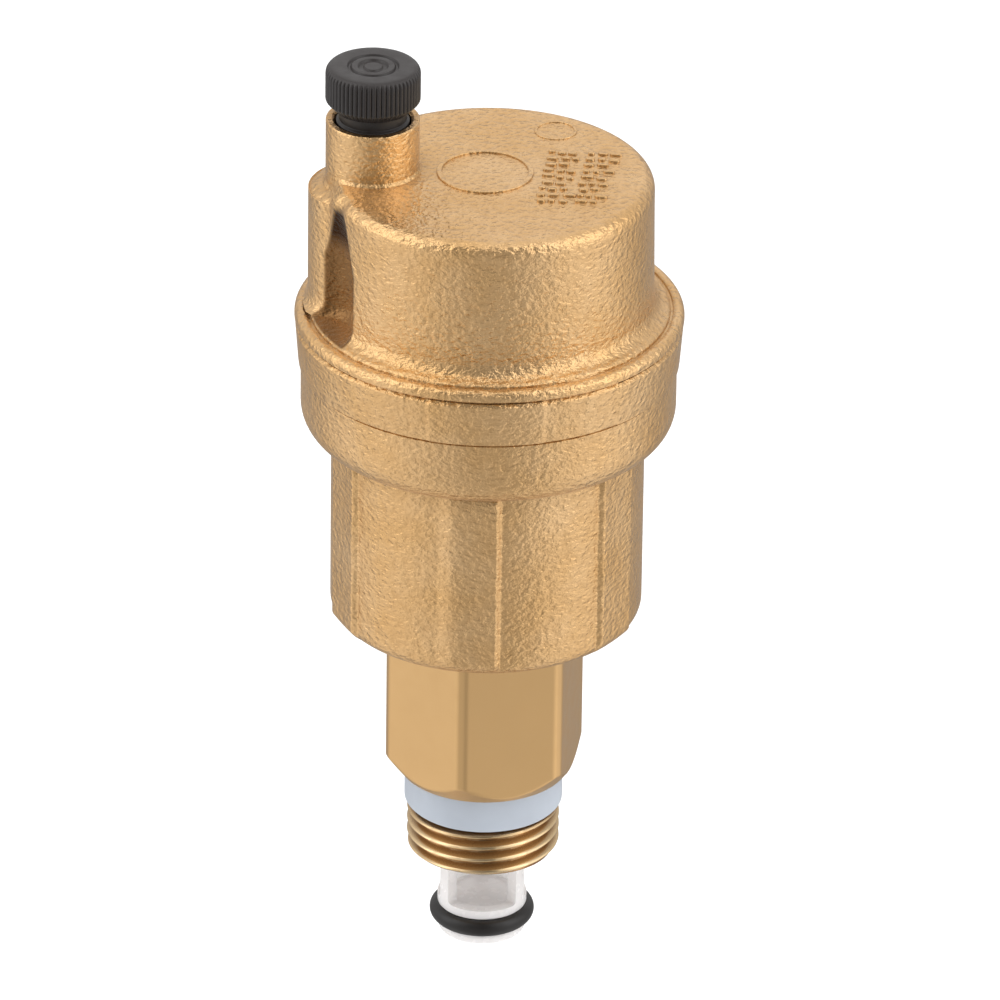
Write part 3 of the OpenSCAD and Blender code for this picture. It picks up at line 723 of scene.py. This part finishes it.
def shutoff_body():
    """The turned body: hexagon with its chamfers, neck for the seal ring, and the helical thread."""
    low, high = node_box("shutoff_body")
    ring_top = node_box("seal_ring")[1][2] + 0.02
    hex_top = high[2]
    neck_r = THREAD_R - THREAD_DEPTH
    foot_r, foot_h = HEX_FACE - 0.6, 3.0
    seat_r, seal_bore, spring_bore, nose_bore = 10.5, 8.38, 8.05, 6.23
    seat_z, seal_z, spring_z = hex_top - 2.1, 16.5, 3.0

    def shape(r, z, phi):
        apart = off_centre(phi, HEX_TURN + 30 + np.arange(0, 360, 60))
        flat = HEX_FACE / np.cos(np.radians(apart))
        six = soft_min(flat, HEX_CORNER_R, 0.2)
        cone = foot_r + (HEX_CORNER_R + 0.1 - foot_r) * (z - ring_top) / foot_h
        head = HEX_FACE - 0.3 + (hex_top - z) * 2.4
        hexagon = soft_min(soft_min(six, cone, 0.1), head, 0.1)
        on_hex = (r > 12) & (z > ring_top)
        wave = 0.5 - 0.5 * helix(phi, z, THREAD_PITCH, THREAD_FRONT, THREAD_FRONT_Z)
        start = smooth(z, -0.35, 0.0)
        threaded = THREAD_R - THREAD_DEPTH * np.maximum(wave, start)
        threaded = soft_min(threaded, THREAD_R - 0.85 + (z - low[2]) * 1.1, 0.1)
        on_thread = (r > 9.4) & (z < 0.001)
        r = np.where(on_hex, hexagon, r)
        return np.where(on_thread, np.minimum(threaded, THREAD_R), r), z

    path = [(nose_bore + 0.9, low[2]), (THREAD_R - 0.95, low[2])]
    path += wall(THREAD_R, low[2] + 0.05, THREAD_R, -0.02, THREAD_PITCH / 14)
    path += [(neck_r, 0.0), (neck_r, ring_top), (foot_r - 0.3, ring_top)]
    path += wall(HEX_FACE, ring_top + 0.02, HEX_FACE, ring_top + foot_h + 0.2, 0.12)
    path += wall(HEX_FACE, ring_top + foot_h + 0.6, HEX_FACE, hex_top - 1.2, 4)
    path += wall(HEX_FACE, hex_top - 1.1, HEX_FACE, hex_top - 0.02, 0.12)
    path += [(HEX_FACE - 0.5, hex_top), (seat_r, hex_top), (seat_r, seat_z), (seal_bore, seat_z)]
    path += [(seal_bore, seal_z), (spring_bore, seal_z), (spring_bore, spring_z)]
    path += [(nose_bore, spring_z), (nose_bore, low[2] + 0.9)]
    corners = HEX_TURN + np.arange(0, 360, 60)
    bands = [(corner - 4.6, corner + 4.6, 0.4) for corner in corners]
    points, faces = revolved(path, angles_round(144, bands), shape)
    piece = solid("shutoff_valve_body", points, faces, [turned, thread_brass], "shutoff",
                  ["shutoff_body"])
    for face in piece.data.polygons:
        if face.center.z < 0.2 * MM:
            face.material_index = 1
    return piece


def seal_ring():
    """The pale ring that seals the mounting thread against what it is screwed into."""
    low, high = node_box("seal_ring")
    outer, inner = high[0], THREAD_R - THREAD_DEPTH + 0.02
    loop = rounded([(inner, low[2], 0.1), (outer - 0.35, low[2], 0.15), (outer, low[2] + 0.35, 0.25),
                    (outer, high[2], 0.2), (inner, high[2], 0.1)], closed=True)
    points, faces = revolved(loop, angles_round(160))
    return solid("seal_ring_moulding", points, faces, [ring_white], "shutoff", ["seal_ring"])


def shutter():
    """The shutter: a tube with a closed nose, an O-ring groove, a clip groove and three windows."""
    low, high = node_box("shutter")
    outer, bore, groove_r = SHUTTER_R, 4.6, 4.7
    seal_z = -17.6
    groove_low, groove_high = seal_z - 1.27, seal_z + 1.27
    clip_low = 13.6
    path = [(0, low[2])]
    path += rounded([(0.5, low[2], 0), (outer - 0.25, low[2], 0.3), (outer - 0.02, groove_low - 0.4, 0.15),
                     (outer - 0.1, groove_low, 0.15), (groove_r, groove_low, 0.15),
                     (groove_r, groove_high, 0.15), (outer, groove_high, 0.2), (outer, clip_low, 0)])
    path += [(outer - 0.5, clip_low), (outer - 0.5, clip_low + 1.2), (outer, clip_low + 1.2)]
    path += rounded([(outer, high[2] - 0.5, 0), (outer, high[2], 0.2), (bore, high[2], 0.2),
                     (bore, groove_high + 0.9, 0.4), (0, groove_high + 0.9, 0)])
    points, faces = revolved(path, angles_round(144), closed=False)
    piece = solid("shutter_moulding", points, faces, [shutter_white], "shutter", ["shutter"])
    for turn in (0, 120, 240):
        cut(piece, window(-83 + turn, groove_high + 1.3, -8.7, bore - 1, outer + 1))
    resharpen(piece)
    return piece


def window(turn, low, high, inner, outer):
    """A cutter for one opening in the shutter's wall, with rounded corners."""
    half = 60 - math.degrees(1.1 / SHUTTER_R)
    corner_turn, corner_h = 7.0, 0.7
    sides = []
    for a0, z0, start in ((half, low, -90), (half, high, 0), (-half, high, 90), (-half, low, 180)):
        across = a0 - math.copysign(corner_turn, a0)
        up = z0 + (corner_h if z0 == low else -corner_h)
        sides += [(across + corner_turn * math.cos(a), up + corner_h * math.sin(a))
                  for a in np.radians(range(start, start + 91, 15))]
    dense = []
    for (a0, z0), (a1, z1) in zip(sides, sides[1:] + sides[:1]):
        steps = max(1, math.ceil(abs(a1 - a0) / 6))
        dense += [(a0 + (a1 - a0) * i / steps, z0 + (z1 - z0) * i / steps) for i in range(steps)]
    middle = (low + high) / 2
    points = []
    for r in (inner, outer):
        points += [(r * math.cos(math.radians(turn + a)), r * math.sin(math.radians(turn + a)), z)
                   for a, z in dense]
    count = len(dense)
    faces = [[j, (j + 1) % count, count + (j + 1) % count, count + j] for j in range(count)]
    # Each end is closed by strips from its outline to its mirror image in the middle level.
    for first in (0, count):
        faces += cap_strips(dense, first, middle)
    return tool_closed(points, faces)


def cap_strips(outline, first, middle):
    """Faces that fill an outline symmetrical about the middle level, by joining mirrored points."""
    in_order = sorted(range(len(outline)), key=lambda i: outline[i][0])
    upper = [i for i in in_order if outline[i][1] > middle]
    lower = [i for i in in_order if outline[i][1] < middle]
    return [[first + lower[j], first + lower[j + 1], first + upper[j + 1], first + upper[j]]
            for j in range(len(upper) - 1)]


def tool_closed(points, faces):
    """A temporary solid whose faces are turned to look outward."""
    piece = tool(points, faces)
    shell = bmesh.new()
    shell.from_mesh(piece.data)
    bmesh.ops.recalc_face_normals(shell, faces=shell.faces)
    shell.to_mesh(piece.data)
    shell.free()
    return piece


def shutter_oring():
    """The O-ring that stands round the shutter's nose."""
    low, high = node_box("shutter_oring")
    section = (high[2] - low[2]) / 2
    loop = arc(high[0] - section, low[2] + section, section, 0, 360, 28)[:-1]
    points, faces = revolved(loop, angles_round(144))
    return solid("shutter_seal", points, faces, [rubber], "shutter", ["shutter_oring"])


# ---------- cap ----------

def vent_cap():
    """The cap: knurled head with a dished ring on top, neck, and the skirt inside the outlet."""
    low, high = node_box("vent_cap")
    outlet_top = node_box("cover")[1][2]
    head_low = outlet_top + 1.6
    neck_low = outlet_top - 0.2
    bore_top = node_box("cap_seal")[1][2] + 0.02
    chamfer = 1.3
    neck_r, skirt_r, bore_r = 4.55, 4.94, 3.08
    crown = 1.05
    knurl_depth = 0.22

    def shape(r, z, phi):
        tooth = (phi * CAP_KNURLS / 360) % 1
        groove = np.abs(2 * tooth - 1) ** 3
        on_side = smooth(z, head_low + 0.3, head_low + chamfer)
        on_side = on_side * (1 - smooth(z, high[2] - 0.6, high[2] - 0.15))
        return r - np.where(r > CAP_R - 1.2, knurl_depth * groove * on_side, 0), z

    path = [(0, bore_top), (bore_r, bore_top), (bore_r, low[2])]
    path += rounded([(skirt_r - 0.2, low[2], 0), (skirt_r, low[2] + 0.2, 0), (skirt_r, neck_low, 0.12),
                     (neck_r, neck_low + 0.25, 0.12), (neck_r, head_low, 0.3), (CAP_R - 1.2, head_low, 0.25),
                     (CAP_R, head_low + chamfer, 0.35), (CAP_R, head_low + chamfer + 1.0, 0)])
    path += wall(CAP_R, head_low + chamfer + 1.2, CAP_R, high[2] - crown - 0.3, 0.6)
    path += arc(CAP_R - crown, high[2] - crown, crown, 0, 80, 7)
    groove_z = high[2] - 0.35
    path += rounded([(CAP_R - crown - 0.3, high[2] - 0.02, 0), (3.5, high[2] - 0.02, 0.12),
                     (3.3, groove_z, 0.12), (3.05, groove_z, 0.12), (2.85, high[2] - 0.04, 0.12),
                     (2.1, high[2] - 0.04, 0.12), (1.85, groove_z, 0.12), (1.35, groove_z, 0.12),
                     (1.15, high[2] - 0.12, 0.1), (0, high[2] - 0.12, 0)])
    points, faces = revolved(path, angles_round(CAP_KNURLS * 8), shape, (OUTLET_X, 0), closed=False)
    return solid("vent_cap_moulding", points, faces, [cap_plastic], "cap", ["vent_cap"],
                 sharp=40)


# ---------- springs ----------

def springs():
    """The two coil springs, each stretched between the bodies at its ends."""
    low, high = node_box("shutter_spring")
    points, faces = coil(7.12, 0.42, low[2], high[2], 7)
    piece = solid("shutter_coil_spring", points, faces, [steel], None, ())
    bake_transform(piece)
    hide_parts("shutter_spring")
    low, high = node_box("valve_spring")
    points, faces = coil(1.9, 0.22, low[2], high[2], 5, (OUTLET_X, 0))
    piece = solid("valve_coil_spring", points, faces, [steel], None, ())
    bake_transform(piece)
    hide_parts("valve_spring")


# ---------- pieces that keep their CAD shape ----------

def finish_nodes():
    """Materials for the nodes inside, which keep their CAD shape."""
    kept = {
        "shutter_clip": steel, "lever_pin": steel, "lever": steel,
        "cover_oring": rubber, "spigot_oring": rubber, "nozzle_oring": rubber,
        "valve_pad": rubber, "cap_seal": rubber,
        "vent_nozzle": nozzle_brass,
        "valve_guide": inner_plastic, "valve_stem": inner_plastic,
        "float_shell": inner_plastic, "float_lid": lid_plastic,
    }
    for name, made in kept.items():
        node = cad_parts[name]
        if not node.material_slots:
            node.data.materials.append(made)
        for place in node.material_slots:
            place.material = made


# ---------- camera, light and floor ----------

def build_camera():
    """A long lens, a little to the right of the front and above the part."""
    azimuth, elevation = math.radians(6.8), math.radians(27.8)
    distance = 1.4816
    target = Vector((0.00177, 0.0, 0.0460))
    direction = Vector((math.sin(azimuth) * math.cos(elevation),
                        -math.cos(azimuth) * math.cos(elevation), math.sin(elevation)))
    data = bpy.data.cameras.new("camera")
    data.lens = 393.4
    data.sensor_width = 36.0
    data.clip_end = 20
    camera = bpy.data.objects.new("camera", data)
    camera.location = target + direction * distance
    turn = (-direction).to_track_quat("-Z", "Y")
    roll = math.radians(0.78)
    camera.rotation_mode = "QUATERNION"
    camera.rotation_quaternion = turn @ Matrix.Rotation(roll, 4, "Z").to_quaternion()
    bpy.context.scene.collection.objects.link(camera)
    bpy.context.scene.camera = camera


def soft_box(name, azimuth, elevation, distance, size, energy):
    """A soft light that looks at the part. Azimuth 0 is the front, and positive is to the right."""
    a, e = math.radians(azimuth), math.radians(elevation)
    aim = Vector((0, 0, 0.05))
    place = aim + distance * Vector((math.sin(a) * math.cos(e), -math.cos(a) * math.cos(e), math.sin(e)))
    data = bpy.data.lights.new(name, "AREA")
    data.shape = "RECTANGLE"
    data.size, data.size_y = size
    data.energy = energy
    light = bpy.data.objects.new(name, data)
    light.location = place
    light.rotation_mode = "QUATERNION"
    light.rotation_quaternion = (aim - place).to_track_quat("-Z", "Y")
    light.visible_glossy = False
    bpy.context.scene.collection.objects.link(light)


def studio():
    """The room that the metal mirrors: bright tall panels at both sides, a dark front and a lit back.

    Each ring is a list of (azimuth, light) stops, one at the horizon and one above it.
    """
    low = [(-180, 0.42), (-128, 0.42), (-105, 0.70), (-72, 0.94), (-45, 0.78), (-15, 0.56), (8, 0.43),
           (24, 0.46), (48, 0.72), (76, 1.0), (98, 0.88), (125, 0.54), (150, 0.40), (180, 0.42)]
    high = [(-180, 0.92), (-140, 0.70), (-105, 0.95), (-72, 2.0), (-45, 0.85), (-15, 0.35), (8, 0.20),
            (24, 0.26), (48, 0.90), (76, 2.0), (98, 1.3), (125, 0.65), (150, 0.70), (180, 0.92)]
    world = bpy.data.worlds.new("studio")
    world.use_nodes = True
    tree = world.node_tree
    split = tree.nodes.new("ShaderNodeSeparateXYZ")
    tree.links.new(tree.nodes.new("ShaderNodeTexCoord").outputs["Generated"], split.inputs["Vector"])
    front = maths(tree, "MULTIPLY", split.outputs["Y"], -1)
    azimuth = maths(tree, "ARCTAN2", split.outputs["X"], front)
    place = spread(tree, azimuth, 0, 1, -math.pi, math.pi)
    rings = [ramp(tree, place, [((turn + 180) / 360, (light / WORLD_STRENGTH,) * 3) for turn, light in stops])
             for stops in (low, high)]
    room = blended(tree, spread(tree, split.outputs["Z"], 0, 1, -0.1, 0.3), *rings)
    background = tree.nodes["Background"]
    background.inputs["Strength"].default_value = WORLD_STRENGTH
    tree.links.new(room, background.inputs["Color"])
    bpy.context.scene.world = world
    soft_box("floor_light", 0, 89, 1.2, (1.6, 1.6), FLOOR_LIGHT)


def floor():
    """A wide pale floor below the part, which hangs clear of it."""
    half, level, edge = 6.0, -0.12, 24
    steps = np.linspace(-half, half, edge + 1)
    points = [(x / MM, y / MM, level / MM) for y in steps for x in steps]
    index = np.arange(len(points)).reshape(edge + 1, edge + 1)
    faces = np.stack((index[:-1, :-1], index[:-1, 1:], index[1:, 1:], index[1:, :-1]), -1)
    faces = faces.reshape(-1, 4).tolist()
    made, tree, node = shader("floor_paint", (0.93, 0.93, 0.93), 0.0, 0.9)
    tone = ramp(tree, noise(tree, 40), [(0.3, (0.925, 0.925, 0.925)), (0.7, (0.935, 0.935, 0.935))])
    tree.links.new(tone, node.inputs["Base Color"])
    piece = solid("floor", points, faces, [made], None)
    # The metal mirrors the studio's panels all the way down, as it would on an open stand.
    piece.visible_glossy = False


build_camera()
studio()
floor()
vent_body()
cover()
shutoff_body()
seal_ring()
shutter()
shutter_oring()
vent_cap()
springs()
finish_nodes()
bpy.context.scene.view_settings.view_transform = "Standard"
